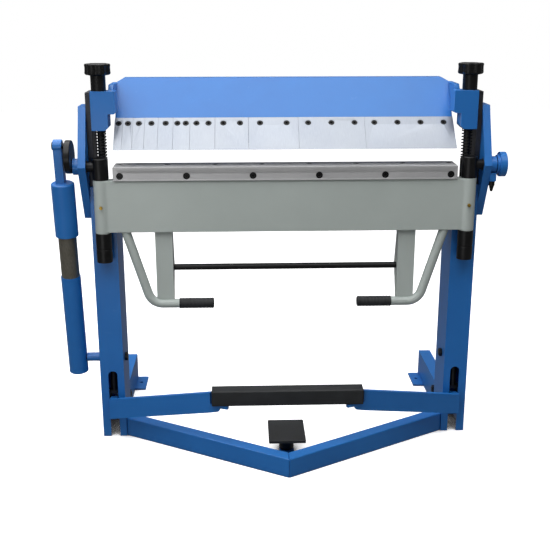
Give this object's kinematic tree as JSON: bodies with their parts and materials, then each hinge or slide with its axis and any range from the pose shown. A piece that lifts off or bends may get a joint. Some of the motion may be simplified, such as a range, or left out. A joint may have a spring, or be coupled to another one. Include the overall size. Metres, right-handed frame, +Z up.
{
  "type": "sheet metal brake",
  "caption": "Free-standing foot-clamped box and pan brake: blue side columns, grey folding apron with lift handles, segmented finger clamp and V base.",
  "frame": {"origin": "midpoint between the two rear floor bolt holes, at floor level", "axes": "+X to the operator's right along the fold line, +Y rearward, +Z up"},
  "size_m": [1.354, 0.78, 1.18],
  "materials": {
    "blue_paint": "gloss",
    "grey_paint": "satin",
    "dark_oxide": "satin",
    "black_plastic": "matte",
    "black_rubber": "matte",
    "ground_steel": "ground",
    "milled_steel": "milled",
    "dark_tube": "drawn",
    "guide_steel": "machined",
    "bronze": "machined",
    "brass_fitting": "turned"
  },
  "bodies": {
    "frame": {"column_l": "blue_paint", "column_r": "blue_paint", "cheeks": "blue_paint", "pivot_bushes": "bronze", "guide_uprights": "guide_steel", "spring_seats": "dark_oxide", "return_springs": "dark_oxide", "bed_beam": "blue_paint", "bed_die": "milled_steel", "die_screws": "dark_oxide", "rear_feet": "blue_paint", "treadle_pivots": "dark_oxide", "base_legs": "blue_paint", "stop_strap": "blue_paint", "stop_stem": "dark_oxide", "stop_pad": "black_rubber", "strut_bolts": "dark_oxide"},
    "clamp": {"upper_beam": "blue_paint", "finger_01": "ground_steel", "finger_02": "ground_steel", "finger_03": "ground_steel", "finger_04": "ground_steel", "finger_05": "ground_steel", "finger_06": "ground_steel", "finger_07": "ground_steel", "finger_08": "ground_steel", "finger_09": "ground_steel", "finger_10": "ground_steel", "finger_11": "ground_steel", "finger_bolts": "dark_oxide", "bracket_l": "blue_paint", "bracket_r": "blue_paint", "pull_rods": "dark_oxide"},
    "knob_left": {"knob_stem_l": "dark_oxide", "knob_l": "black_plastic"},
    "knob_right": {"knob_stem_r": "dark_oxide", "knob_r": "black_plastic"},
    "apron": {"apron_beam": "grey_paint", "bending_blade": "milled_steel", "blade_screws": "dark_oxide", "pivot_head_l": "dark_oxide", "pivot_head_r": "dark_oxide", "grease_nipples": "brass_fitting", "lift_handles": "grey_paint", "handle_grips": "black_rubber", "apron_posts": "grey_paint", "cross_rod": "dark_oxide", "crank_disc": "dark_oxide", "stop_disc": "blue_paint"},
    "adjuster_left": {"adjuster_nut_l": "dark_oxide"},
    "adjuster_right": {"adjuster_nut_r": "dark_oxide"},
    "strut_lower": {"strut_barrel": "blue_paint", "strut_tube": "dark_tube"},
    "strut_upper": {"strut_sleeve": "blue_paint", "crank_pin": "dark_oxide"},
    "treadle": {"treadle_arm_l": "blue_paint", "treadle_arm_r": "blue_paint", "treadle_bar": "blue_paint", "treadle_cover": "black_rubber"},
    "stop_lock": {"stop_screw": "dark_oxide"}
  },
  "joints": [
    {"name": "clamp_lift", "type": "slide", "parent": "frame", "child": "clamp", "axis": [0, 0, -1], "range_m": [0, 0.047], "stiffness_N_per_m": 2600, "springref_m": -0.06, "deforming": ["return_springs"]},
    {"name": "treadle_press", "type": "hinge", "parent": "frame", "child": "treadle", "pos_m": [0, -0.242, 0.068], "axis": [1, 0, 0], "range_deg": [0, 16.77]},
    {"name": "apron_fold", "type": "hinge", "parent": "frame", "child": "apron", "pos_m": [0, -0.452, 0.887], "axis": [-1, 0, 0], "range_deg": [0, 135]},
    {"name": "strut_swing", "type": "hinge", "parent": "frame", "child": "strut_lower", "pos_m": [-0.664, -0.378, 0.259], "axis": [-1, 0, 0], "range_deg": [0, 3.15]},
    {"name": "strut_slide", "type": "slide", "parent": "strut_lower", "child": "strut_upper", "axis": [0, -0.1067, 0.9943], "range_m": [-0.10825, 0]},
    {"name": "knob_left_turn", "type": "hinge", "parent": "clamp", "child": "knob_left", "pos_m": [-0.549, -0.4, 1.15], "axis": [0, 0, 1], "continuous": true},
    {"name": "knob_right_turn", "type": "hinge", "parent": "clamp", "child": "knob_right", "pos_m": [0.549, -0.4, 1.15], "axis": [0, 0, 1], "continuous": true},
    {"name": "adjuster_left_turn", "type": "hinge", "parent": "apron", "child": "adjuster_left", "pos_m": [-0.549, -0.452, 0.64], "axis": [0, 0, 1], "continuous": true},
    {"name": "adjuster_right_turn", "type": "hinge", "parent": "apron", "child": "adjuster_right", "pos_m": [0.549, -0.452, 0.64], "axis": [0, 0, 1], "continuous": true},
    {"name": "stop_screw_turn", "type": "hinge", "parent": "frame", "child": "stop_lock", "pos_m": [0.6195, -0.452, 0.82], "axis": [0, 0, 1], "continuous": true}
  ],
  "couplings": [
    {"joint": "treadle_press", "follows": "clamp_lift", "rad_per_m": 6.223},
    {"joint": "strut_swing", "follows": "apron_fold", "ratio": 0.023241},
    {"joint": "strut_slide", "follows": "apron_fold", "m_per_rad": -0.045901}
  ]
}
